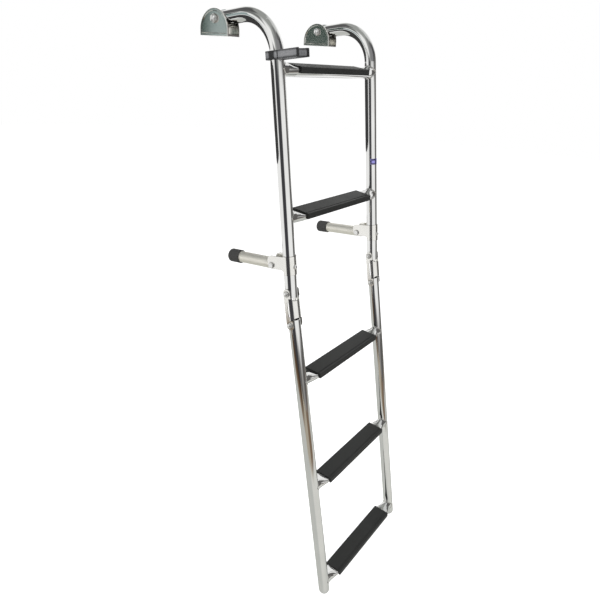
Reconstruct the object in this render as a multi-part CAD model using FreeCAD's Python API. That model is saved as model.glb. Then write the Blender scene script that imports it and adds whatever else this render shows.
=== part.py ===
import FreeCAD, Part
import math
import os

V = FreeCAD.Vector
os.makedirs("parts", exist_ok=True)

# Folding five-step swim ladder that hangs from two deck brackets. Sizes are in millimetres.
# X runs across the ladder (left rail at -X), +Y points inboard over the deck, Z is up.
# The origin lies on the flat underside of the brackets, halfway between them and halfway along them.

# Rails
tube_d = 25.0
tube_wall = 1.5
rail_spacing = 322.0
hook_reach = 126.0
bend_radius = 72.0
arm_tail = 15.0
upper_lean = 7.8
lower_tilt = 3.6
hinge_drop = 502.0
rail_stub = 9.0
lower_length = 679.0
foot_round = 12.5

# Steps: the upper two are measured down the rails from the deck pivot, the lower three up from the feet
step_1_drop = 93.5
upper_pitch = 261.0
step_5_lift = 33.5
lower_pitch = 258.5
step_d = 25.0
step_wall = 1.5
step_flat_width = 29.0
step_flat_height = 17.8
step_corner = 3.0
step_round_length = 4.0
step_taper_length = 22.0
tread_tilt = 15.0
weld_gap = 0.2

# Tread pads
pad_length = 239.0
pad_top = 2.6
pad_side = 2.2
pad_lip = 11.2
pad_flare = 1.2
pad_gap = 0.25
pad_groove_width = 1.6
pad_groove_depth = 0.8
pad_groove_inset = 4.5
pad_edge_round = 1.2
pad_lip_round = 0.6

# Deck brackets
bracket_sheet = 3.0
bracket_gap = 0.5
cheek_length = 69.0
cheek_side_height = 10.0
cheek_bolt_offset = 1.5
cheek_rim = 4.5
cheek_recess = 1.0
cheek_bevel = 1.0
cheek_edge_round = 1.4
pivot_height = 28.0
deck_screw_d = 6.5
deck_screw_pitch = 46.0
bracket_bolt_d = 8.0
bracket_head_width = 13.0
bracket_head_height = 4.5
bracket_nut_height = 8.0

# Hinge links and their bolts
link_length = 65.0
link_width = 16.4
link_end = 10.0
link_sheet = 2.0
link_gap = 0.5
link_slot_width = 3.2
link_slot_inset = 16.5
link_web_inset = 14.5
link_fillet = 5.0
hinge_bolt_d = 6.0
hinge_head_width = 10.0
hinge_head_height = 4.0
hinge_nut_height = 6.5
bolt_fit = 0.05

# Standoffs and their folded plate brackets
standoff_drop = 447.0
standoff_rise = 2.3
standoff_d = 23.0
standoff_wall = 1.5
standoff_pivot_out = 34.0
standoff_root = 6.0
standoff_length = 117.5
cap_wall = 2.0
cap_length = 29.0
cap_gap = 0.15
wrap_sheet = 1.5
wrap_gap = 0.2
wrap_height = 37.0
wrap_lift = 1.5
arm_height = 26.5
arm_top_step = 0.8
arm_end = 9.5
arm_fillet = 8.0
arm_end_round = 10.0
clamp_below = 3.0
clamp_bolt_d = 6.0
clamp_head_width = 9.5
clamp_head_height = 3.0
clamp_socket_width = 3.5
clamp_socket_depth = 1.4

# Storage clip on the left rail
clip_top_drop = 65.5
clip_height = 14.0
clip_width = 32.0
clip_back = 15.0
clip_reach = 57.0
clip_corner = 4.0
clip_jaw_d = 26.4
clip_jaw_out = 60.0
clip_bore_gap = 0.7
clip_line_width = 1.0
clip_line_depth = 0.6
clip_tip_round = 0.8
clip_bevel = 0.7

# How far a cutting shape runs past what it cuts
over = 1.0

rail_r = tube_d / 2.0
rail_x = rail_spacing / 2.0
SIDES = (("left", -rail_x), ("right", rail_x))


def save(node, shape):
    """Write one node's solid as a STEP file."""
    shape = shape.removeSplitter()
    shape.exportStep("parts/" + node + ".step")


def turned(shape, degrees, pivot=V(0, 0, 0)):
    """Copy of a shape turned about a line along X."""
    out = shape.copy()
    out.rotate(pivot, V(1, 0, 0), degrees)
    return out


def moved(shape, x=0.0, y=0.0, z=0.0):
    """Copy of a shape shifted."""
    out = shape.copy()
    out.translate(V(x, y, z))
    return out


def cylinder_x(radius, x0, x1, y=0.0, z=0.0):
    """Cylinder along X from x0 to x1."""
    return Part.makeCylinder(radius, x1 - x0, V(x0, y, z), V(1, 0, 0))


def box(x0, x1, y0, y1, z0, z1):
    """Box between two corners."""
    return Part.makeBox(x1 - x0, y1 - y0, z1 - z0, V(x0, y0, z0))


def place_upper(shape):
    """From the upper section's own frame, with its origin at the deck pivot, to the shared frame."""
    return moved(turned(shape, -upper_lean), 0, -cheek_bolt_offset, pivot_height)


def place_link(shape):
    """From the link's own frame, with its origin at the upper hinge bolt, to the shared frame."""
    return place_upper(moved(turned(shape, -lower_tilt), 0, -hook_reach, -hinge_drop))


def place_lower(shape):
    """From the lower section's own frame, with its origin at the lower hinge bolt."""
    return place_link(moved(shape, 0, 0, -link_length))


def swept_tube(path, start, direction, radius, wall):
    """Hollow tube along a path, cut open at both ends."""
    solids = []
    for r in (radius, radius - wall):
        ring = Part.Wire([Part.makeCircle(r, start, direction)])
        solids.append(path.makePipeShell([ring], True, False))
    return solids[0].cut(solids[1])


def hex_prism(width, height):
    """Hexagon of a given width across flats, along +Z from the origin, with a slight chamfer."""
    r = width / math.sqrt(3.0)
    corners = [V(r * math.cos(math.radians(a)), r * math.sin(math.radians(a)), 0) for a in range(0, 361, 60)]
    prism = Part.Face(Part.makePolygon(corners)).extrude(V(0, 0, height))
    cone = Part.makeCone(r * 1.28, r * 0.94, height)
    return prism.common(cone)


def bolt_with_nut(shank_d, grip, head_width, head_height, nut_height):
    """Hex bolt along X through plates that end at plus and minus grip, with a domed nut at +X."""
    head = hex_prism(head_width, head_height)
    head.rotate(V(0, 0, 0), V(0, 1, 0), -90)
    head.translate(V(-grip, 0, 0))
    shank = cylinder_x(shank_d / 2.0, -grip - over, grip + over)
    nut = hex_prism(head_width, nut_height * 0.55)
    dome = Part.makeSphere(head_width * 0.46, V(0, 0, 0), V(0, 0, 1), 0, 90, 360)
    dome.translate(V(0, 0, nut_height * 0.4))
    nut = nut.fuse(dome)
    nut.rotate(V(0, 0, 0), V(0, 1, 0), 90)
    nut.translate(V(grip, 0, 0))
    return shank.fuse(head).fuse(nut)


# Upper rails: one bend from the rail into the hook arm that goes into its deck bracket.
def upper_rail(x):
    y_rail = -hook_reach
    bottom = -(hinge_drop + rail_stub)
    turn = 1.0 - math.cos(math.radians(45))
    low = V(0, y_rail, bottom)
    start = V(0, y_rail, -bend_radius)
    middle = V(0, y_rail + bend_radius * turn, -bend_radius * turn)
    end = V(0, y_rail + bend_radius, 0)
    path = Part.Wire([
        Part.makeLine(low, start),
        Part.Arc(start, middle, end).toShape(),
        Part.makeLine(end, V(0, arm_tail, 0)),
    ])
    rail = swept_tube(path, low, V(0, 0, 1), rail_r, tube_wall)
    rail = rail.cut(cylinder_x(bracket_bolt_d / 2.0 + bolt_fit, -tube_d, tube_d))
    rail = rail.cut(cylinder_x(hinge_bolt_d / 2.0 + bolt_fit, -tube_d, tube_d, y_rail, -hinge_drop))
    hole_start = V(0, y_rail - rail_r, clamp_z())
    clamp_hole = Part.makeCylinder(clamp_bolt_d / 2.0 + bolt_fit, rail_r, hole_start, V(0, 1, 0))
    rail = rail.cut(clamp_hole)
    return place_upper(moved(rail, x))


def clamp_z():
    """Height of the clamp bolt in the upper frame."""
    return -standoff_drop + wrap_lift - clamp_below


# Lower rails: straight tubes, closed at the foot by a dome.
def lower_rail(x):
    length = lower_length + rail_stub - foot_round
    foot = V(0, 0, foot_round - lower_length)
    outer = Part.makeCylinder(rail_r, length, foot)
    outer = outer.fuse(Part.makeSphere(foot_round, foot))
    inner = Part.makeCylinder(rail_r - tube_wall, length, foot)
    inner = inner.fuse(Part.makeSphere(foot_round - tube_wall, foot))
    rail = outer.cut(inner)
    rail = rail.cut(cylinder_x(hinge_bolt_d / 2.0 + bolt_fit, -tube_d, tube_d))
    return place_lower(moved(rail, x))


# Step tubes: round where they are welded to the rails, with the top pressed flat under the pad.
# The underside stays round, and the pressed section keeps the girth of the tube.
def round_section(x, radius):
    """Circle in four arcs that pair with the four edges of the pressed section."""
    def at(degrees):
        a = math.radians(degrees)
        return V(x, radius * math.cos(a), radius * math.sin(a))
    arcs = []
    for a0, a1 in ((140, 40), (40, 12), (12, -192), (-192, -220)):
        arcs.append(Part.Arc(at(a0), at((a0 + a1) / 2.0), at(a1)).toShape())
    return Part.Wire(arcs)


def pressed_section(x, grow):
    """Flat top, two rounded corners and a round underside; grow is the offset outward."""
    top = step_flat_height - step_d / 2.0 + grow
    low = -step_d / 2.0 - grow
    half = step_flat_width / 2.0 + grow
    corner = step_corner + grow
    near = corner * (1.0 - math.sqrt(0.5))
    side = top - corner
    return Part.Wire([
        Part.makeLine(V(x, -half + corner, top), V(x, half - corner, top)),
        Part.Arc(V(x, half - corner, top), V(x, half - near, top - near), V(x, half, side)).toShape(),
        Part.Arc(V(x, half, side), V(x, 0, low), V(x, -half, side)).toShape(),
        Part.Arc(V(x, -half, side), V(x, near - half, top - near), V(x, -half + corner, top)).toShape(),
    ])


def step_body(shrink):
    round_x = rail_x - rail_r - step_round_length
    flat_x = round_x - step_taper_length
    r = step_d / 2.0 - shrink
    body = Part.Face(pressed_section(-flat_x, -shrink)).extrude(V(2.0 * flat_x, 0, 0))
    for s in (-1, 1):
        a = pressed_section(s * flat_x, -shrink)
        b = round_section(s * round_x, r)
        taper = Part.makeLoft([a, b], True, True)
        body = body.fuse(taper)
        x0 = min(s * round_x, s * rail_x)
        body = body.fuse(cylinder_x(r, x0, x0 + rail_x - round_x))
    return body


def step_tube():
    tube = step_body(0.0).cut(step_body(step_wall))
    for side, x in SIDES:
        rail = Part.makeCylinder(rail_r + weld_gap, 4.0 * tube_d, V(x, 0, -2.0 * tube_d))
        tube = tube.cut(turned(rail, -tread_tilt))
    return turned(tube, tread_tilt)


# Tread pads: one extruded section that caps the flat top and grips the round sides with flared lips.
def pad_section():
    top = step_flat_height - step_d / 2.0 + pad_gap + pad_top
    half = step_flat_width / 2.0 + pad_gap + pad_side
    low = top - pad_lip
    x0 = -pad_length / 2.0
    outline = Part.makePolygon([
        V(x0, -half, top),
        V(x0, half, top),
        V(x0, half + pad_flare, low),
        V(x0, -half - pad_flare, low),
        V(x0, -half, top),
    ])
    outer = Part.Face(outline).extrude(V(pad_length, 0, 0))
    long_edges = [e for e in outer.Edges if e.BoundBox.XLength > pad_length / 2.0]
    outer = outer.makeFillet(pad_edge_round, [e for e in long_edges if e.BoundBox.ZMin > top - pad_lip / 2.0])
    long_edges = [e for e in outer.Edges if e.BoundBox.XLength > pad_length / 2.0]
    lip_edges = [e for e in long_edges if e.BoundBox.ZMax < low + pad_lip_round / 2.0]
    outer = outer.makeFillet(pad_lip_round, lip_edges)
    inner = Part.Face(pressed_section(x0 - over, pad_gap)).extrude(V(pad_length + 2.0 * over, 0, 0))
    pad = outer.cut(inner)
    groove_y = -half + pad_groove_inset
    groove_end = groove_y + pad_groove_width
    groove = box(x0 - over, over - x0, groove_y, groove_end, top - pad_groove_depth, top + over)
    return pad.cut(groove)


# Deck brackets: a base and two arched cheeks, each with a raised rim that slopes into a sunk panel.
def arch_wire(inset, x):
    r = cheek_length / 2.0 - inset
    spring = cheek_side_height
    low = max(inset, 0.0)
    return Part.Wire([
        Part.makeLine(V(x, r, low), V(x, r, spring)),
        Part.Arc(V(x, r, spring), V(x, 0, spring + r), V(x, -r, spring)).toShape(),
        Part.makeLine(V(x, -r, spring), V(x, -r, low)),
        Part.makeLine(V(x, -r, low), V(x, r, low)),
    ])


def deck_bracket(x):
    inside = rail_r + bracket_gap
    outside = inside + bracket_sheet
    y1 = cheek_length / 2.0
    y0 = -y1
    body = Part.Face(arch_wire(0.0, -outside)).extrude(V(2.0 * outside, 0, 0))
    rim = [e for e in body.Edges if e.BoundBox.XLength < over and e.BoundBox.ZMax > over]
    body = body.makeFillet(cheek_edge_round, rim)
    body = body.cut(box(-inside, inside, y0 - over, y1 + over, bracket_sheet, cheek_length))
    for s in (-1, 1):
        spread = cheek_bevel * (cheek_recess + over) / cheek_recess
        floor = arch_wire(cheek_rim, s * (outside - cheek_recess))
        mouth = arch_wire(cheek_rim - spread, s * (outside + over))
        body = body.cut(Part.makeLoft([floor, mouth], True, True))
        for yy in (-1, 1):
            screw = V(0, yy * deck_screw_pitch / 2.0, -bracket_sheet)
            body = body.cut(Part.makeCylinder(deck_screw_d / 2.0, 3.0 * bracket_sheet, screw))
    hole_r = bracket_bolt_d / 2.0 + bolt_fit
    body = body.cut(cylinder_x(hole_r, -2.0 * outside, 2.0 * outside, -cheek_bolt_offset, pivot_height))
    return moved(body, x)


def bracket_bolt(x):
    grip = rail_r + bracket_gap + bracket_sheet - cheek_recess
    bolt = bolt_with_nut(bracket_bolt_d, grip, bracket_head_width, bracket_head_height, bracket_nut_height)
    return moved(bolt, x, -cheek_bolt_offset, pivot_height)


# Hinge links: two slotted cheeks joined in front by a half-round web, open at the rear for the rail ends.
# The cheeks stay flat round the bolts, where the rails turn inside them.
def stadium_plate(x0, x1, half_width, z_top, z_low):
    r = half_width
    wire = Part.Wire([
        Part.makeLine(V(x0, r, z_low + r), V(x0, r, z_top - r)),
        Part.Arc(V(x0, r, z_top - r), V(x0, 0, z_top), V(x0, -r, z_top - r)).toShape(),
        Part.makeLine(V(x0, -r, z_top - r), V(x0, -r, z_low + r)),
        Part.Arc(V(x0, -r, z_low + r), V(x0, 0, z_low), V(x0, r, z_low + r)).toShape(),
    ])
    return Part.Face(wire).extrude(V(x1 - x0, 0, 0))


def link(x):
    inside = rail_r + link_gap
    outside = inside + link_sheet
    half = link_width / 2.0
    z_top = link_end
    z_low = -link_length - link_end
    web_top = -link_web_inset
    web_low = link_web_inset - link_length
    outline = stadium_plate(-outside, outside, half, z_top, z_low)
    outline = outline.fuse(box(-outside, outside, -outside - over, 0, web_low, web_top))
    corners = []
    for e in outline.Edges:
        b = e.BoundBox
        across = b.XLength > outside
        at_front = abs(b.YMin + half) < 1e-6 and abs(b.YMax + half) < 1e-6
        at_web = min(abs(b.ZMin - web_top), abs(b.ZMin - web_low)) < 1e-6
        if across and at_front and at_web:
            corners.append(e)
    outline = outline.makeFillet(link_fillet, corners)
    cheeks = box(-outside, outside, -half, half, z_low, z_top)
    bend_top = web_top + link_fillet
    bend_low = web_low - link_fillet
    cheeks = cheeks.cut(box(-outside - over, outside + over, -half - over, 0, bend_low, bend_top))
    shell = cheeks.fuse(Part.makeCylinder(outside, bend_top - bend_low, V(0, 0, bend_low)))
    hollow = box(-inside, inside, 0, half + over, z_low - over, z_top + over)
    hollow = hollow.fuse(box(-inside, inside, -half - over, half + over, bend_top, z_top + over))
    hollow = hollow.fuse(box(-inside, inside, -half - over, half + over, z_low - over, bend_low))
    hollow = hollow.fuse(Part.makeCylinder(inside, bend_top - bend_low, V(0, 0, bend_low)))
    body = shell.cut(hollow).common(outline)
    slot_low = link_slot_inset - link_length
    slot = stadium_plate(-2.0 * outside, 2.0 * outside, link_slot_width / 2.0, -link_slot_inset, slot_low)
    body = body.cut(slot)
    for z in (0.0, -link_length):
        body = body.cut(cylinder_x(hinge_bolt_d / 2.0 + bolt_fit, -2.0 * outside, 2.0 * outside, 0, z))
    return place_link(moved(body, x))


def hinge_bolt(x, z):
    grip = rail_r + link_gap + link_sheet
    bolt = bolt_with_nut(hinge_bolt_d, grip, hinge_head_width, hinge_head_height, hinge_nut_height)
    return place_link(moved(bolt, x, 0, z))


# Standoff brackets: a folded plate that wraps the rail from the front and carries the pivot.
def standoff_bracket(x):
    inside = rail_r + wrap_gap
    outside = inside + wrap_sheet
    z_mid = -standoff_drop + wrap_lift
    z_top = z_mid + wrap_height / 2.0
    z_low = z_mid - wrap_height / 2.0
    arm_top = z_top - arm_top_step
    arm_low = arm_top - arm_height
    y_end = standoff_pivot_out + arm_end
    outline = Part.Face(Part.makePolygon([
        V(-outside, -2.0 * outside, z_top),
        V(-outside, rail_r * 0.25, z_top),
        V(-outside, rail_r * 0.25 + arm_top_step, arm_top),
        V(-outside, y_end, arm_top),
        V(-outside, y_end, arm_low),
        V(-outside, rail_r * 0.25, arm_low),
        V(-outside, rail_r * 0.25, z_low),
        V(-outside, -2.0 * outside, z_low),
        V(-outside, -2.0 * outside, z_top),
    ])).extrude(V(2.0 * outside, 0, 0))
    inner_corner = []
    for e in outline.Edges:
        b = e.BoundBox
        if b.XLength < outside:
            continue
        if abs(b.YMin - rail_r * 0.25) < 1e-6 and abs(b.ZMin - arm_low) < 1e-6:
            inner_corner.append(e)
    outline = outline.makeFillet(arm_fillet, inner_corner)
    across = [e for e in outline.Edges if e.BoundBox.XLength > outside]
    end_corners = [e for e in across if abs(e.BoundBox.YMin - y_end) < 1e-6]
    outline = outline.makeFillet(arm_end_round, end_corners)
    shell = Part.makeCylinder(outside, wrap_height, V(0, 0, z_low))
    shell = shell.fuse(box(-outside, outside, 0, y_end, z_low, z_top))
    hollow = Part.makeCylinder(inside, wrap_height + 2.0 * over, V(0, 0, z_low - over))
    hollow = hollow.fuse(box(-inside, inside, 0, y_end + over, z_low - over, z_top + over))
    body = shell.cut(hollow).common(outline)
    pivot_r = hinge_bolt_d / 2.0 + bolt_fit
    body = body.cut(cylinder_x(pivot_r, -2.0 * outside, 2.0 * outside, standoff_pivot_out, -standoff_drop))
    clamp_start = V(0, -outside - over, clamp_z())
    body = body.cut(Part.makeCylinder(clamp_bolt_d / 2.0 + bolt_fit, outside, clamp_start, V(0, 1, 0)))
    return place_upper(moved(body, x, -hook_reach))


def clamp_bolt(x):
    """Button head with a hex socket; its shank ends inside the rail."""
    face = rail_r + wrap_gap + wrap_sheet
    grip = face - rail_r + 2.0 * tube_wall
    r = clamp_head_width / 2.0
    h = clamp_head_height
    ball = (r * r + h * h) / (2.0 * h)
    head = Part.makeSphere(ball, V(0, 0, h - ball)).common(Part.makeCylinder(r + over, h + over))
    bolt = Part.makeCylinder(clamp_bolt_d / 2.0, grip + over, V(0, 0, -grip)).fuse(head)
    c = clamp_socket_width / math.sqrt(3.0)
    corners = []
    for a in range(0, 361, 60):
        t = math.radians(a)
        corners.append(V(c * math.cos(t), c * math.sin(t), h - clamp_socket_depth))
    bolt = bolt.cut(Part.Face(Part.makePolygon(corners)).extrude(V(0, 0, h)))
    bolt.rotate(V(0, 0, 0), V(1, 0, 0), 90)
    return place_upper(moved(bolt, x, -hook_reach - face, clamp_z()))


def place_standoff(shape, x):
    """From the standoff's own frame, with its origin at its pivot and its tube along +Y."""
    out = turned(shape, standoff_rise)
    return place_upper(moved(out, x, standoff_pivot_out - hook_reach, -standoff_drop))


def standoff_tube(x):
    r = standoff_d / 2.0
    length = standoff_length + standoff_root
    tube = Part.makeCylinder(r, length, V(0, -standoff_root, 0), V(0, 1, 0))
    bore_start = V(0, -standoff_root - over, 0)
    bore = Part.makeCylinder(r - standoff_wall, length + 2.0 * over, bore_start, V(0, 1, 0))
    tube = tube.cut(bore)
    tube = tube.cut(cylinder_x(hinge_bolt_d / 2.0 + bolt_fit, -standoff_d, standoff_d))
    return place_standoff(tube, x)


def standoff_cap(x):
    r = standoff_d / 2.0 + cap_gap
    ro = r + cap_wall
    y1 = standoff_length + cap_gap + cap_wall
    y0 = y1 - cap_length
    round_r = ro * 0.35
    near = round_r * (1.0 - math.sqrt(0.5))
    profile = Part.Wire([
        Part.makeLine(V(0, y0, r), V(0, y0, ro)),
        Part.makeLine(V(0, y0, ro), V(0, y1 - round_r, ro)),
        Part.Arc(V(0, y1 - round_r, ro), V(0, y1 - near, ro - near), V(0, y1, ro - round_r)).toShape(),
        Part.makeLine(V(0, y1, ro - round_r), V(0, y1, 0)),
        Part.makeLine(V(0, y1, 0), V(0, y1 - cap_wall, 0)),
        Part.makeLine(V(0, y1 - cap_wall, 0), V(0, y1 - cap_wall, r)),
        Part.makeLine(V(0, y1 - cap_wall, r), V(0, y0, r)),
    ])
    cap = Part.Face(profile).revolve(V(0, 0, 0), V(0, 1, 0), 360)
    return place_standoff(cap, x)


def standoff_bolt(x):
    grip = rail_r + wrap_gap + wrap_sheet
    bolt = bolt_with_nut(hinge_bolt_d, grip, hinge_head_width, hinge_head_height, hinge_nut_height)
    return place_upper(moved(bolt, x, standoff_pivot_out - hook_reach, -standoff_drop))


# Storage clip: a plastic block that swivels on the left rail and takes the folded rail in its jaw.
def storage_clip():
    z0 = -clip_top_drop - clip_height
    half = clip_width / 2.0
    tall = clip_height + 2.0 * over
    body = box(-half, half, -clip_reach, clip_back, z0, z0 + clip_height)
    corners = [e for e in body.Edges if e.BoundBox.ZLength > clip_height / 2.0 and e.BoundBox.YMin > 0]
    body = body.makeFillet(clip_corner, corners)
    body = body.makeChamfer(clip_bevel, [e for e in body.Edges if e.BoundBox.ZLength < clip_height / 2.0])
    body = body.cut(Part.makeCylinder(rail_r + clip_bore_gap, tall, V(0, 0, z0 - over)))
    body = body.cut(Part.makeCylinder(clip_jaw_d / 2.0, tall, V(0, -clip_jaw_out, z0 - over)))
    tips = []
    for e in body.Edges:
        b = e.BoundBox
        upright = b.ZLength > clip_height / 2.0
        at_front = abs(b.YMax + clip_reach) < 1e-6
        inside = abs(abs(b.XMax) - half) > clip_tip_round
        if upright and at_front and inside:
            tips.append(e)
    body = body.makeFillet(clip_tip_round, tips)
    for s in (-1, 1):
        x0 = s * half - clip_line_depth
        x1 = s * half + clip_line_depth
        body = body.cut(box(x0, x1, -rail_r - clip_line_width, -rail_r, z0 - over, z0 + clip_height + over))
    return place_upper(moved(body, -rail_x, -hook_reach))


for side, x in SIDES:
    save("deck_bracket_" + side, deck_bracket(x))
    save("bracket_bolt_" + side, bracket_bolt(x))
    save("upper_rail_" + side, upper_rail(x))
    save("lower_rail_" + side, lower_rail(x))
    save("hinge_link_" + side, link(x))
    save("upper_hinge_bolt_" + side, hinge_bolt(x, 0.0))
    save("lower_hinge_bolt_" + side, hinge_bolt(x, -link_length))
    save("standoff_bracket_" + side, standoff_bracket(x))
    save("clamp_bolt_" + side, clamp_bolt(x))
    save("standoff_tube_" + side, standoff_tube(x))
    save("standoff_cap_" + side, standoff_cap(x))
    save("standoff_bolt_" + side, standoff_bolt(x))

tube_shape = step_tube()
pad_shape = turned(pad_section(), tread_tilt)
for number in (1, 2):
    drop = step_1_drop + (number - 1) * upper_pitch
    save("step_tube_%d" % number, place_upper(moved(tube_shape, 0, -hook_reach, -drop)))
    save("step_pad_%d" % number, place_upper(moved(pad_shape, 0, -hook_reach, -drop)))
for number in (3, 4, 5):
    drop = lower_length - step_5_lift - (5 - number) * lower_pitch
    save("step_tube_%d" % number, place_lower(moved(tube_shape, 0, 0, -drop)))
    save("step_pad_%d" % number, place_lower(moved(pad_shape, 0, 0, -drop)))
save("storage_clip", storage_clip())
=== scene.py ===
import math

import bpy
from mathutils import Matrix, Vector


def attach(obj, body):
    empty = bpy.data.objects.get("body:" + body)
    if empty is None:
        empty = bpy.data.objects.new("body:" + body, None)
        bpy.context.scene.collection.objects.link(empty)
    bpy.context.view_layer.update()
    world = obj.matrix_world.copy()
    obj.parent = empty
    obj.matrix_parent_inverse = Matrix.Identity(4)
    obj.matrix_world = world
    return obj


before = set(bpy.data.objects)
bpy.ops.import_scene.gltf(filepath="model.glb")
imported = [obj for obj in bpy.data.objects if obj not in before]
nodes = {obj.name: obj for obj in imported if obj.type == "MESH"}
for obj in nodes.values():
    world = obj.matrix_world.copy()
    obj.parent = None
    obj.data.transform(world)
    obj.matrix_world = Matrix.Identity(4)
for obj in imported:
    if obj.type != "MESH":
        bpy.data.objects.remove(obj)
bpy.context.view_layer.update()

# Sizes are in metres, in the shared frame: +X to the right rail, +Y inboard over the deck, Z up.
MM = 0.001
collection = bpy.context.scene.collection

# Sizes that the CAD source also has, for the pieces that follow its surfaces
RAIL_X = 161 * MM
RAIL_R = 12.5 * MM
STEP_R = 12.5 * MM
HOOK_REACH = 126 * MM
PIVOT = Vector((0, -1.5 * MM, 28 * MM))
HINGE_DROP = 502 * MM
LINK_LENGTH = 65 * MM
UPPER_LEAN = math.radians(7.8)
LOWER_TILT = math.radians(3.6)
UPPER_STEPS = (93.5 * MM, 354.5 * MM)
LOWER_STEPS = (128.5 * MM, 387 * MM, 645.5 * MM)
SIDES = ((-1, "left"), (1, "right"))

UPPER = Matrix.Translation(PIVOT) @ Matrix.Rotation(-UPPER_LEAN, 4, "X")
LINK = UPPER @ Matrix.Translation((0, -HOOK_REACH, -HINGE_DROP)) @ Matrix.Rotation(-LOWER_TILT, 4, "X")
LOWER = LINK @ Matrix.Translation((0, 0, -LINK_LENGTH))


def step_places():
    """The frame of each step at the middle of its tube, from the top step down, and the body it is on."""
    rails = UPPER @ Matrix.Translation((0, -HOOK_REACH, 0))
    upper = [(rails @ Matrix.Translation((0, 0, -drop)), "upper_section") for drop in UPPER_STEPS]
    lower = [(LOWER @ Matrix.Translation((0, 0, -drop)), "lower_section") for drop in LOWER_STEPS]
    return upper + lower


# The camera, fitted to the photograph: where it stands, two of its axes and its lens
CAM_AT = Vector((-0.9628, -0.7806, -0.0318))
CAM_RIGHT = Vector((0.5949, -0.8017, 0.0582))
CAM_UP = Vector((0.2915, 0.2827, 0.9138))
CAM_NEAR = 0.01
CAM_FAR = 60
LENS_PX = 545.35
PHOTO_PX = 600
SENSOR = 36.0


def make_camera():
    data = bpy.data.cameras.new("photo_camera")
    data.sensor_width = SENSOR
    data.sensor_fit = "HORIZONTAL"
    data.lens = LENS_PX / PHOTO_PX * SENSOR
    data.clip_start = CAM_NEAR
    data.clip_end = CAM_FAR
    cam = bpy.data.objects.new("photo_camera", data)
    collection.objects.link(cam)
    right = CAM_RIGHT.normalized()
    up = (CAM_UP - CAM_UP.dot(right) * right).normalized()
    back = right.cross(up)
    turn = Matrix((right, up, back)).transposed().to_4x4()
    cam.matrix_world = Matrix.Translation(CAM_AT) @ turn
    bpy.context.scene.camera = cam


# Helpers for node trees

class Nodes:
    """A material's or world's node tree with short calls for adding and joining nodes."""

    def __init__(self, owner):
        owner.use_nodes = True
        self.tree = owner.node_tree
        self.tree.nodes.clear()

    def add(self, kind, **values):
        node = self.tree.nodes.new(kind)
        for key, value in values.items():
            if key in node.inputs:
                node.inputs[key].default_value = value
            else:
                setattr(node, key, value)
        return node

    def join(self, out_node, out_name, in_node, in_name):
        self.tree.links.new(out_node.outputs[out_name], in_node.inputs[in_name])


# Sockets of a Mix node set to colours, by number because its other kinds of value share their names
MIX_SHARE = 0
MIX_FIRST = 6
MIX_SECOND = 7
MIX_RESULT = 2


def set_input(node, name, value):
    node.inputs[name].default_value = value


def noise(n, coords, scale, detail, rough=0.5):
    tex = n.add("ShaderNodeTexNoise")
    set_input(tex, "Scale", scale)
    set_input(tex, "Detail", detail)
    set_input(tex, "Roughness", rough)
    n.join(coords, "Object", tex, "Vector")
    return tex


def ramp(n, source, output, stops):
    node = n.add("ShaderNodeValToRGB")
    elements = node.color_ramp.elements
    while len(elements) < len(stops):
        elements.new(0.5)
    for element, (place, colour) in zip(elements, stops):
        element.position = place
        element.color = (*colour, 1)
    n.join(source, output, node, "Fac")
    return node


def span(n, source, output, lo, hi):
    node = n.add("ShaderNodeMapRange")
    set_input(node, "To Min", lo)
    set_input(node, "To Max", hi)
    n.join(source, output, node, "Value")
    return node


def bump(n, source, output, strength, distance):
    node = n.add("ShaderNodeBump")
    set_input(node, "Strength", strength)
    set_input(node, "Distance", distance)
    n.join(source, output, node, "Height")
    return node


def principled(n, **values):
    shader = n.add("ShaderNodeBsdfPrincipled")
    for name, value in values.items():
        set_input(shader, name.replace("_", " "), value)
    out = n.add("ShaderNodeOutputMaterial")
    n.join(shader, "BSDF", out, "Surface")
    return shader


# Materials

# Rays for each test of how open a spot lies, and the openness from which it keeps its full colour
AO_SAMPLES = 8
AO_CLEAN = 0.95
# Where on the noise the dark shade ends and the light one starts
SHADE_STOPS = (0.3, 0.7)
# Noise scales, about the count of spots in a metre, and how deep the fine grain goes
METAL_CLOUDS = 18
METAL_SMUDGES = 55
METAL_GRAIN_DEPTH = 0.2 * MM
PLASTIC_CLOUDS = 30
PLASTIC_SKIN_DEPTH = 0.3 * MM
PLASTIC_SHEEN = 0.36


def shaded_edges(n, colour, rim, nook, low, painted_shade_colour):
    """Paint shade into a colour: darker along outer edges, to a depth of rim, and in corners, to a depth of
    nook.
    """
    kind = "ShaderNodeAmbientOcclusion"
    inner = n.add(kind, samples=AO_SAMPLES, inside=True, only_local=True, Distance=rim)
    outer = n.add(kind, samples=AO_SAMPLES, Distance=nook)
    shares = []
    for node in (inner, outer):
        share = span(n, node, "AO", 0, 1)
        set_input(share, "From Min", low)
        set_input(share, "From Max", AO_CLEAN)
        shares.append(share)
    least = n.add("ShaderNodeMath", operation="MINIMUM")
    n.join(shares[0], "Result", least, 0)
    n.join(shares[1], "Result", least, 1)
    # Mix in the colour of the painted shade where a spot lies closed in
    mix = n.add("ShaderNodeMix", data_type="RGBA")
    mix.inputs[MIX_FIRST].default_value = (*painted_shade_colour, 1)
    n.join(least, "Value", mix, MIX_SHARE)
    n.join(colour, "Color", mix, MIX_SECOND)
    return mix


def surface(n, shader, cloud, gloss, light, dark, rough, edges):
    """Give a shader its clouded colour, its uneven gloss and, where asked for, painted shade along its edges
    and in its corners.
    """
    colour = ramp(n, cloud, "Fac", tuple(zip(SHADE_STOPS, (dark, light))))
    if edges:
        colour = shaded_edges(n, colour, **edges)
    n.join(colour, MIX_RESULT if edges else "Color", shader, "Base Color")
    uneven = span(n, gloss, "Fac", *rough)
    n.join(uneven, "Result", shader, "Roughness")


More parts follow.
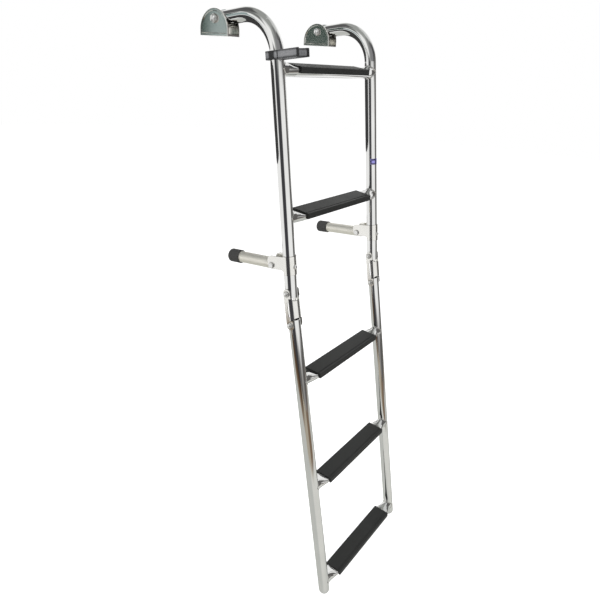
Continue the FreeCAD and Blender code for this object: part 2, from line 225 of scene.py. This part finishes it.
def metal(name, light, dark, rough, grain, relief, edges=None):
    """Stainless steel: slight clouding of colour, smudged gloss and a fine grain."""
    material = bpy.data.materials.new(name)
    n = Nodes(material)
    coords = n.add("ShaderNodeTexCoord")
    cloud = noise(n, coords, METAL_CLOUDS, 4)
    smudge = noise(n, coords, METAL_SMUDGES, 5, 0.6)
    fine = noise(n, coords, grain, 4, 0.6)
    shader = principled(n, Metallic=1.0)
    surface(n, shader, cloud, smudge, light, dark, rough, edges)
    marks = bump(n, fine, "Fac", relief, METAL_GRAIN_DEPTH)
    n.join(marks, "Normal", shader, "Normal")
    return material


def plastic(name, light, dark, rough, grain, relief, edges=None):
    """Moulded plastic or rubber: mottled dark colour and a pebbled skin."""
    material = bpy.data.materials.new(name)
    n = Nodes(material)
    coords = n.add("ShaderNodeTexCoord")
    cloud = noise(n, coords, PLASTIC_CLOUDS, 5, 0.6)
    skin = noise(n, coords, grain, 2, 0.6)
    shader = principled(n, Specular_IOR_Level=PLASTIC_SHEEN)
    surface(n, shader, cloud, cloud, light, dark, rough, edges)
    marks = bump(n, skin, "Fac", relief, PLASTIC_SKIN_DEPTH)
    n.join(marks, "Normal", shader, "Normal")
    return material


chrome = metal(
    "polished_steel", light=(0.84, 0.84, 0.835), dark=(0.78, 0.78, 0.775),
    rough=(0.03, 0.09), grain=900, relief=0.02,
)
polished = metal(
    "polished_plate", light=(0.87, 0.86, 0.83), dark=(0.80, 0.79, 0.76),
    rough=(0.10, 0.17), grain=1200, relief=0.05,
    # Painted shade along the edges and round the bolts, where parts meet
    edges={"rim": 0.5 * MM, "nook": 3.0 * MM, "low": 0.45, "painted_shade_colour": (0.16, 0.155, 0.145)},
)
satin = metal(
    "satin_steel", light=(0.96, 0.94, 0.87), dark=(0.88, 0.86, 0.79),
    rough=(0.45, 0.60), grain=1400, relief=0.10,
)
fastener = metal(
    "fastener_steel", light=(0.93, 0.93, 0.92), dark=(0.85, 0.85, 0.84),
    rough=(0.30, 0.42), grain=1200, relief=0.06,
    # Painted shade: dark outlines round the bolt heads and where they meet the plates
    edges={"rim": 0.5 * MM, "nook": 1.6 * MM, "low": 0.25, "painted_shade_colour": (0.40, 0.39, 0.38)},
)
weld = metal(
    "weld_steel", light=(0.74, 0.73, 0.71), dark=(0.60, 0.59, 0.57),
    rough=(0.16, 0.34), grain=1600, relief=0.1,
)
tape = metal(
    "band_film", light=(0.42, 0.40, 0.80), dark=(0.30, 0.28, 0.70),
    rough=(0.05, 0.10), grain=900, relief=0.02,
)
pad = plastic(
    "pad_plastic", light=(0.017, 0.018, 0.017), dark=(0.011, 0.012, 0.011),
    rough=(0.42, 0.60), grain=1500, relief=0.25,
)
rubber = plastic(
    "cap_rubber", light=(0.058, 0.058, 0.056), dark=(0.036, 0.036, 0.035),
    rough=(0.55, 0.72), grain=1300, relief=0.3,
)
clip_skin = plastic(
    "clip_plastic", light=(0.305, 0.308, 0.318), dark=(0.200, 0.204, 0.214),
    rough=(0.38, 0.55), grain=1400, relief=0.25,
    # Painted shade: darker edges and a painted shadow inside the jaw
    edges={"rim": 4.5 * MM, "nook": 12.0 * MM, "low": 0.66, "painted_shade_colour": (0.018, 0.018, 0.020)},
)

# The start of a CAD node's name, and its material
FINISHES = (
    ("deck_bracket", polished),
    ("upper_rail", chrome),
    ("lower_rail", chrome),
    ("step_tube", chrome),
    ("hinge_link", polished),
    ("standoff_bracket", polished),
    ("standoff_tube", satin),
    ("standoff_cap", rubber),
    ("step_pad", pad),
    ("storage_clip", clip_skin),
    ("bracket_bolt", fastener),
    ("upper_hinge_bolt", fastener),
    ("lower_hinge_bolt", fastener),
    ("clamp_bolt", fastener),
    ("standoff_bolt", fastener),
)


def dress_nodes():
    for name, node in nodes.items():
        for start, material in FINISHES:
            if name.startswith(start):
                node.data.materials.clear()
                node.data.materials.append(material)


# Helpers for meshes

def mesh_piece(name, points, faces, material, body):
    """A smooth mesh that rides on a body and takes the finish it is given."""
    data = bpy.data.meshes.new(name)
    data.from_pydata(points, [], faces)
    data.update()
    for polygon in data.polygons:
        polygon.use_smooth = True
    data.materials.append(material)
    piece = bpy.data.objects.new(name, data)
    collection.objects.link(piece)
    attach(piece, body)


def grid_faces(rows, columns, close_rows, close_columns):
    """Quads over a grid of points, in either direction closed or open."""
    faces = []
    for i in range(rows if close_rows else rows - 1):
        for j in range(columns if close_columns else columns - 1):
            a = i * columns + j
            b = i * columns + (j + 1) % columns
            c = ((i + 1) % rows) * columns + (j + 1) % columns
            d = ((i + 1) % rows) * columns + j
            faces.append((a, b, c, d))
    return faces


# The treads, a little deeper between the rails than the solids

TREAD_TILT = math.radians(15)
TREAD_GROWTH = 0.18
TREAD_ROUND_AT = 149 * MM
TREAD_FLAT_AT = 121 * MM


def deepen(node, centre, across):
    """Stretch a tread about its middle, front to back, leaving its ends round where they meet the rails."""
    tree = bpy.data.node_groups.new("deepen_" + node.name, "GeometryNodeTree")
    tree.interface.new_socket("Geometry", in_out="INPUT", socket_type="NodeSocketGeometry")
    tree.interface.new_socket("Geometry", in_out="OUTPUT", socket_type="NodeSocketGeometry")
    add = tree.nodes.new
    link = tree.links.new
    start = add("NodeGroupInput")
    end = add("NodeGroupOutput")
    move = add("GeometryNodeSetPosition")
    link(start.outputs[0], move.inputs["Geometry"])
    link(move.outputs["Geometry"], end.inputs[0])

    # How far a point lies from the middle of the tread, front to back
    place = add("GeometryNodeInputPosition")
    offset = add("ShaderNodeVectorMath")
    offset.operation = "SUBTRACT"
    offset.inputs[1].default_value = centre
    link(place.outputs[0], offset.inputs[0])
    depth = add("ShaderNodeVectorMath")
    depth.operation = "DOT_PRODUCT"
    depth.inputs[1].default_value = across
    link(offset.outputs["Vector"], depth.inputs[0])

    # The share by which it moves outward, which falls to nothing towards the rails
    parts = add("ShaderNodeSeparateXYZ")
    link(place.outputs[0], parts.inputs[0])
    side = add("ShaderNodeMath")
    side.operation = "ABSOLUTE"
    link(parts.outputs["X"], side.inputs[0])
    share = add("ShaderNodeMapRange")
    share.interpolation_type = "SMOOTHSTEP"
    set_input(share, "From Min", TREAD_ROUND_AT)
    set_input(share, "From Max", TREAD_FLAT_AT)
    set_input(share, "To Max", TREAD_GROWTH)
    link(side.outputs[0], share.inputs["Value"])

    amount = add("ShaderNodeMath")
    amount.operation = "MULTIPLY"
    link(depth.outputs["Value"], amount.inputs[0])
    link(share.outputs["Result"], amount.inputs[1])
    shift = add("ShaderNodeVectorMath")
    shift.operation = "SCALE"
    shift.inputs[0].default_value = across
    link(amount.outputs[0], shift.inputs["Scale"])
    link(shift.outputs["Vector"], move.inputs["Offset"])
    node.modifiers.new("deepen", "NODES").node_group = tree


def deepen_treads():
    for i, (place, body) in enumerate(step_places()):
        across = place.to_3x3() @ Vector((0, math.cos(TREAD_TILT), math.sin(TREAD_TILT)))
        for kind in ("step_tube", "step_pad"):
            deepen(nodes["%s_%d" % (kind, i + 1)], place.translation, across)


# Weld beads where the step tubes meet the rails

BEAD_R = 1.25 * MM
BEAD_RIPPLE = 0.22 * MM
BEAD_RIPPLES = 30
BEAD_STEPS = 120
BEAD_SIDES = 10


def bead(name, side, place, body):
    """One rippled ring of weld along the line where a step tube runs into a rail."""
    points = []
    for i in range(BEAD_STEPS):
        t = 2 * math.pi * i / BEAD_STEPS
        ring_y = STEP_R * math.cos(t)
        ring_z = STEP_R * math.sin(t)
        depth = math.sqrt(max(RAIL_R ** 2 - ring_y ** 2, 0))
        centre = Vector((side * (RAIL_X - depth), ring_y, ring_z))
        outward = Vector((0, math.cos(t), math.sin(t)))
        along = Vector((-side, 0, 0))
        radius = BEAD_R + BEAD_RIPPLE * abs(math.sin(BEAD_RIPPLES / 2 * t))
        for j in range(BEAD_SIDES):
            a = 2 * math.pi * j / BEAD_SIDES
            points.append(place @ (centre + radius * (math.cos(a) * outward + math.sin(a) * along)))
    faces = grid_faces(BEAD_STEPS, BEAD_SIDES, True, True)
    mesh_piece(name, points, faces, weld, body)


def weld_beads():
    for side, word in SIDES:
        for i, (place, body) in enumerate(step_places()):
            bead("weld_%d_%s" % (i + 1, word), side, place, body)


# Crowned tops of the bolt heads that face -X. The flat tops are measured from the middle of the rail.

DECK_HEAD_TOP = 19.5 * MM
DECK_CROWN_R = 6.0 * MM
DECK_CROWN_RISE = 2.0 * MM
HINGE_HEAD_TOP = 19.0 * MM
HINGE_CROWN_R = 4.6 * MM
HINGE_CROWN_RISE = 1.5 * MM
CROWN_SUNK = 0.05 * MM
CROWN_RINGS = 7
CROWN_SIDES = 28


def crown(name, at, radius, rise, body):
    """A shallow dome that faces -X, with its rim sunk a little into the flat top of a bolt head."""
    ball = (radius ** 2 + rise ** 2) / (2 * rise)
    widest = math.asin(radius / ball)
    points = []
    for i in range(CROWN_RINGS):
        a = widest * (CROWN_RINGS - i) / CROWN_RINGS
        out = ball * math.sin(a)
        lift = rise - ball * (1 - math.cos(a))
        for j in range(CROWN_SIDES):
            t = 2 * math.pi * j / CROWN_SIDES
            points.append(at + Vector((-lift + CROWN_SUNK, out * math.cos(t), out * math.sin(t))))
    faces = grid_faces(CROWN_RINGS, CROWN_SIDES, False, True)
    faces.append(tuple(range((CROWN_RINGS - 1) * CROWN_SIDES, CROWN_RINGS * CROWN_SIDES)))
    faces.append(tuple(range(CROWN_SIDES - 1, -1, -1)))
    mesh_piece(name, points, faces, fastener, body)


def bolt_crowns():
    for side, word in SIDES:
        x = side * RAIL_X
        deck = PIVOT + Vector((x - DECK_HEAD_TOP, 0, 0))
        crown("deck_bolt_crown_" + word, deck, DECK_CROWN_R, DECK_CROWN_RISE, "deck_brackets")
        for place, drop in (("upper", 0), ("lower", LINK_LENGTH)):
            at = LINK @ Vector((x - HINGE_HEAD_TOP, 0, -drop))
            name = "%s_hinge_bolt_crown_%s" % (place, word)
            crown(name, at, HINGE_CROWN_R, HINGE_CROWN_RISE, "links")


# The strip of clear blue film stuck round the front of the right rail

BAND_TOP = -275 * MM
BAND_LOW = -288 * MM
BAND_GAP = 0.03 * MM
BAND_THICK = 0.22 * MM
BAND_FROM = math.radians(-160)
BAND_TO = math.radians(-30)
BAND_STEPS = 40


def tape_band():
    inner = RAIL_R + BAND_GAP
    outer = inner + BAND_THICK
    edge = BAND_THICK / 2
    profile = (
        (inner, BAND_LOW), (outer - edge, BAND_LOW), (outer, BAND_LOW + edge),
        (outer, BAND_TOP - edge), (outer - edge, BAND_TOP), (inner, BAND_TOP),
    )
    points = []
    for i in range(BAND_STEPS):
        a = BAND_FROM + (BAND_TO - BAND_FROM) * i / (BAND_STEPS - 1)
        for r, z in profile:
            local = Vector((RAIL_X + r * math.cos(a), -HOOK_REACH + r * math.sin(a), z))
            points.append(UPPER @ local)
    count = len(profile)
    faces = grid_faces(BAND_STEPS, count, False, True)
    faces.append(tuple(range(count - 1, -1, -1)))
    faces.append(tuple((BAND_STEPS - 1) * count + k for k in range(count)))
    mesh_piece("blue_band", points, faces, tape, "upper_section")


# The floor

FLOOR_Z = -1.215
FLOOR_R = 9.0
FLOOR_SIDES = 96
FLOOR_COLOUR = (0.86, 0.86, 0.86, 1)
FLOOR_LIFT = 0.62
FLOOR_MIRRORED = 0.62
FLOOR_MIRRORED_COLOUR = (0.98, 1.0, 0.96, 1)
MIDDLE = Vector((0, -0.25, -0.55))


def floor_material():
    """Pale floor: white to the camera apart from the shadow of the ladder, light grey in reflections."""
    material = bpy.data.materials.new("pale_floor")
    n = Nodes(material)
    path = n.add("ShaderNodeLightPath")
    lit = n.add("ShaderNodeBsdfDiffuse")
    set_input(lit, "Color", FLOOR_COLOUR)
    lift = n.add("ShaderNodeEmission")
    set_input(lift, "Strength", FLOOR_LIFT)
    to_camera = n.add("ShaderNodeAddShader")
    n.join(lit, "BSDF", to_camera, 0)
    n.join(lift, "Emission", to_camera, 1)
    mirrored = n.add("ShaderNodeEmission")
    set_input(mirrored, "Color", FLOOR_MIRRORED_COLOUR)
    set_input(mirrored, "Strength", FLOOR_MIRRORED)
    first = n.add("ShaderNodeMixShader")
    n.join(path, "Is Glossy Ray", first, "Fac")
    n.join(lit, "BSDF", first, 1)
    n.join(mirrored, "Emission", first, 2)
    second = n.add("ShaderNodeMixShader")
    n.join(path, "Is Camera Ray", second, "Fac")
    n.join(first, "Shader", second, 1)
    n.join(to_camera, "Shader", second, 2)
    out = n.add("ShaderNodeOutputMaterial")
    n.join(second, "Shader", out, "Surface")
    return material


def make_floor():
    data = bpy.data.meshes.new("floor")
    points = []
    for i in range(FLOOR_SIDES):
        a = 2 * math.pi * i / FLOOR_SIDES
        points.append(Vector((FLOOR_R * math.cos(a), FLOOR_R * math.sin(a), 0)))
    data.from_pydata(points, [], [tuple(range(FLOOR_SIDES))])
    data.update()
    data.materials.append(floor_material())
    floor = bpy.data.objects.new("floor", data)
    collection.objects.link(floor)
    floor.location = (MIDDLE.x, MIDDLE.y, FLOOR_Z)


# What the polished steel mirrors: soft-edged patches on a screen round the ladder, on a ceiling over it and
# on a mat on the floor. Each patch is (from, to, low, high, colour). From and to are degrees from the camera,
# towards the right of the picture. Low and high are heights on the screen, and distances from the middle of
# the ladder on the ceiling and the mat. Each pair called soft is how far a patch fades past its edges, in
# degrees and in metres.
SCREEN_R = 1.7
SCREEN_TOP = 1.5
SCREEN_ROWS = 40
SCREEN_SOFT = (12.0, 0.22)
SCREEN_BASE = (0.97, 0.97, 0.96)
SCREEN_PATCHES = (
    (-38, 4, -1.4, 0.22, (0.055, 0.055, 0.06)),
    (-8, 12, 0.3, 1.6, (0.36, 0.37, 0.36)),
    (12, 64, 0.48, 1.6, (0.25, 0.25, 0.255)),
    (74, 122, 0.40, 1.6, (0.07, 0.07, 0.075)),
    (93, 133, -1.4, 0.55, (0.13, 0.125, 0.12)),
    (-70, -56, 0.75, 1.6, (0.20, 0.21, 0.20)),
    (-125, -78, 0.85, 1.6, (0.12, 0.12, 0.12)),
    (14, 32, -1.4, -1.02, (0.12, 0.115, 0.11)),
    (32, 62, -1.4, -1.06, (0.30, 0.29, 0.28)),
    (62, 120, -1.4, -0.98, (0.12, 0.115, 0.11)),
)
CEILING_NEAR = 0.02
CEILING_ROWS = 30
CEILING_SOFT = (16.0, 0.25)
CEILING_BASE = (0.36, 0.37, 0.355)
CEILING_PATCHES = (
    (100, 165, 0.55, 1.75, (0.66, 0.67, 0.66)),
    (-42, -18, 1.3, 1.75, (0.70, 0.71, 0.70)),
    (25, 62, 0.7, 1.75, (0.22, 0.22, 0.22)),
    (64, 100, 1.15, 1.75, (0.12, 0.12, 0.12)),
    (-125, -76, 1.0, 1.75, (0.11, 0.11, 0.11)),
)
MAT_NEAR = 0.05
MAT_ROWS = 24
MAT_LIFT = 2 * MM
MAT_SOFT = (12.0, 0.16)
MAT_BASE = (0.57, 0.58, 0.55)
MAT_PATCHES = (
    (6, 104, 0.32, 0.86, (0.73, 0.73, 0.69)),
    (-5, 34, 0.98, 2.0, (0.45, 0.40, 0.32)),
    (-62, -14, 1.16, 2.0, (0.22, 0.16, 0.105)),
    (-50, -4, 1.40, 2.0, (0.085, 0.052, 0.030)),
    (40, 72, 1.02, 2.0, (0.22, 0.155, 0.105)),
    (72, 125, 1.5, 2.0, (0.24, 0.20, 0.17)),
)
TURNS = 240

# Boards of the backdrop, (name, corner, opposite corner, colour): a dark one behind the hooks, and two green
# ones behind them to the left.
BOARDS = (
    ("dark_board", (-0.85, 0.300, -0.310), (0.85, 0.305, -0.055), (0.05, 0.05, 0.05)),
    ("pale_green_board", (-0.525, 0.225, -0.010), (-0.520, 0.360, 0.190), (0.34, 0.41, 0.41)),
    ("green_board", (-0.525, 0.360, -0.010), (-0.520, 0.620, 0.300), (0.034, 0.062, 0.050)),
)


def inside(value, low, high, soft):
    """1 between low and high, falling smoothly to 0 over the soft distance outside them."""
    off = max(low - value, value - high, 0) / soft
    t = max(1 - off, 0)
    return t * t * (3 - 2 * t)


def patched(base, patches, soft, turn, level):
    """The colour at one place, with each patch laid over those before it."""
    colour = Vector(base)
    for start, end, low, high, shade in patches:
        share = inside(turn, start, end, soft[0]) * inside(level, low, high, soft[1])
        colour = colour.lerp(Vector(shade), share)
    return colour


def even_steps(start, end, count):
    """Count + 1 values from start to end, both included."""
    return [start + (end - start) * i / count for i in range(count + 1)]


def mirrored_piece(name, data):
    """Stage a mesh that only reflections show."""
    piece = bpy.data.objects.new(name, data)
    collection.objects.link(piece)
    piece.visible_camera = False
    piece.visible_diffuse = False
    piece.visible_shadow = False
    piece.visible_transmission = False


def board(name, low, high, colour):
    """A plain block between two corners that glows with one colour."""
    xs, ys, zs = zip(low, high)
    points = [(x, y, z) for x in xs for y in ys for z in zs]
    faces = ((0, 1, 3, 2), (4, 6, 7, 5), (0, 4, 5, 1), (2, 3, 7, 6), (0, 2, 6, 4), (1, 5, 7, 3))
    data = bpy.data.meshes.new(name)
    data.from_pydata(points, [], faces)
    data.update()
    material = bpy.data.materials.new(name)
    n = Nodes(material)
    glow = n.add("ShaderNodeEmission")
    set_input(glow, "Color", (*colour, 1))
    out = n.add("ShaderNodeOutputMaterial")
    n.join(glow, "Emission", out, "Surface")
    data.materials.append(material)
    mirrored_piece(name, data)


def patch_screen(name, rings, base, patches, soft):
    """A surface of rings round the ladder, each (radius, height, level), that glows with its patches."""
    to_camera = Vector((CAM_AT.x - MIDDLE.x, CAM_AT.y - MIDDLE.y, 0)).normalized()
    to_right = Vector((-to_camera.y, to_camera.x, 0))
    points = []
    colours = []
    for radius, height, level in rings:
        for i in range(TURNS):
            turn = 360.0 * i / TURNS - 180.0
            a = math.radians(turn)
            out = math.cos(a) * to_camera + math.sin(a) * to_right
            points.append(Vector((MIDDLE.x, MIDDLE.y, height)) + radius * out)
            colours.append(patched(base, patches, soft, turn, level))
    data = bpy.data.meshes.new(name)
    data.from_pydata(points, [], grid_faces(len(rings), TURNS, False, True))
    data.update()
    shades = data.color_attributes.new(name="shade", type="FLOAT_COLOR", domain="POINT")
    for spot, colour in zip(shades.data, colours):
        spot.color = (*colour, 1)
    material = bpy.data.materials.new(name)
    n = Nodes(material)
    shade = n.add("ShaderNodeAttribute", attribute_name="shade")
    glow = n.add("ShaderNodeEmission")
    n.join(shade, "Color", glow, "Color")
    out = n.add("ShaderNodeOutputMaterial")
    n.join(glow, "Emission", out, "Surface")
    data.materials.append(material)
    mirrored_piece(name, data)


def make_surroundings():
    screen = [(SCREEN_R, z, z) for z in even_steps(FLOOR_Z, SCREEN_TOP, SCREEN_ROWS)]
    patch_screen("mirror_screen", screen, SCREEN_BASE, SCREEN_PATCHES, SCREEN_SOFT)
    mat = [(r, FLOOR_Z + MAT_LIFT, r) for r in even_steps(MAT_NEAR, SCREEN_R, MAT_ROWS)]
    patch_screen("mirror_mat", mat, MAT_BASE, MAT_PATCHES, MAT_SOFT)
    ceiling = [(r, SCREEN_TOP, r) for r in even_steps(CEILING_NEAR, SCREEN_R, CEILING_ROWS)]
    patch_screen("mirror_ceiling", ceiling, CEILING_BASE, CEILING_PATCHES, CEILING_SOFT)
    for entry in BOARDS:
        board(*entry)


# Lamps, each (name, place, width and height, power in watts), all turned towards the middle of the ladder
LAMPS = (
    ("lamp_left", (-2.6, 0.6, 1.3), (1.6, 2.2), 26),
    ("lamp_right", (1.4, -2.6, 1.2), (1.6, 2.2), 22),
    ("lamp_top", (-0.4, -0.6, 2.6), (2.6, 2.6), 30),
)
SKY_LIGHT = 0.55
SKY_SEEN = 1.0
WHITE = (1, 1, 1, 1)


def make_lamps():
    for name, at, (width, height), power in LAMPS:
        data = bpy.data.lights.new(name, "AREA")
        data.shape = "RECTANGLE"
        data.size = width
        data.size_y = height
        data.energy = power
        lamp = bpy.data.objects.new(name, data)
        collection.objects.link(lamp)
        lamp.location = at
        aim = MIDDLE - Vector(at)
        lamp.rotation_euler = aim.to_track_quat("-Z", "Y").to_euler()


def make_world():
    """White to the camera, in reflections and through clear things; a softer light on the ladder."""
    world = bpy.data.worlds.new("studio")
    bpy.context.scene.world = world
    n = Nodes(world)
    path = n.add("ShaderNodeLightPath")
    seen = n.add("ShaderNodeMath", operation="MAXIMUM")
    n.join(path, "Is Camera Ray", seen, 0)
    n.join(path, "Is Glossy Ray", seen, 1)
    seen_too = n.add("ShaderNodeMath", operation="MAXIMUM")
    n.join(seen, "Value", seen_too, 0)
    n.join(path, "Is Transmission Ray", seen_too, 1)
    soft = n.add("ShaderNodeBackground")
    set_input(soft, "Color", WHITE)
    set_input(soft, "Strength", SKY_LIGHT)
    white = n.add("ShaderNodeBackground")
    set_input(white, "Color", WHITE)
    set_input(white, "Strength", SKY_SEEN)
    mix = n.add("ShaderNodeMixShader")
    n.join(seen_too, "Value", mix, "Fac")
    n.join(soft, "Background", mix, 1)
    n.join(white, "Background", mix, 2)
    out = n.add("ShaderNodeOutputWorld")
    n.join(mix, "Shader", out, "Surface")


dress_nodes()
deepen_treads()
weld_beads()
bolt_crowns()
tape_band()
make_floor()
make_surroundings()
make_lamps()
make_world()
make_camera()
bpy.context.scene.view_settings.view_transform = "Standard"
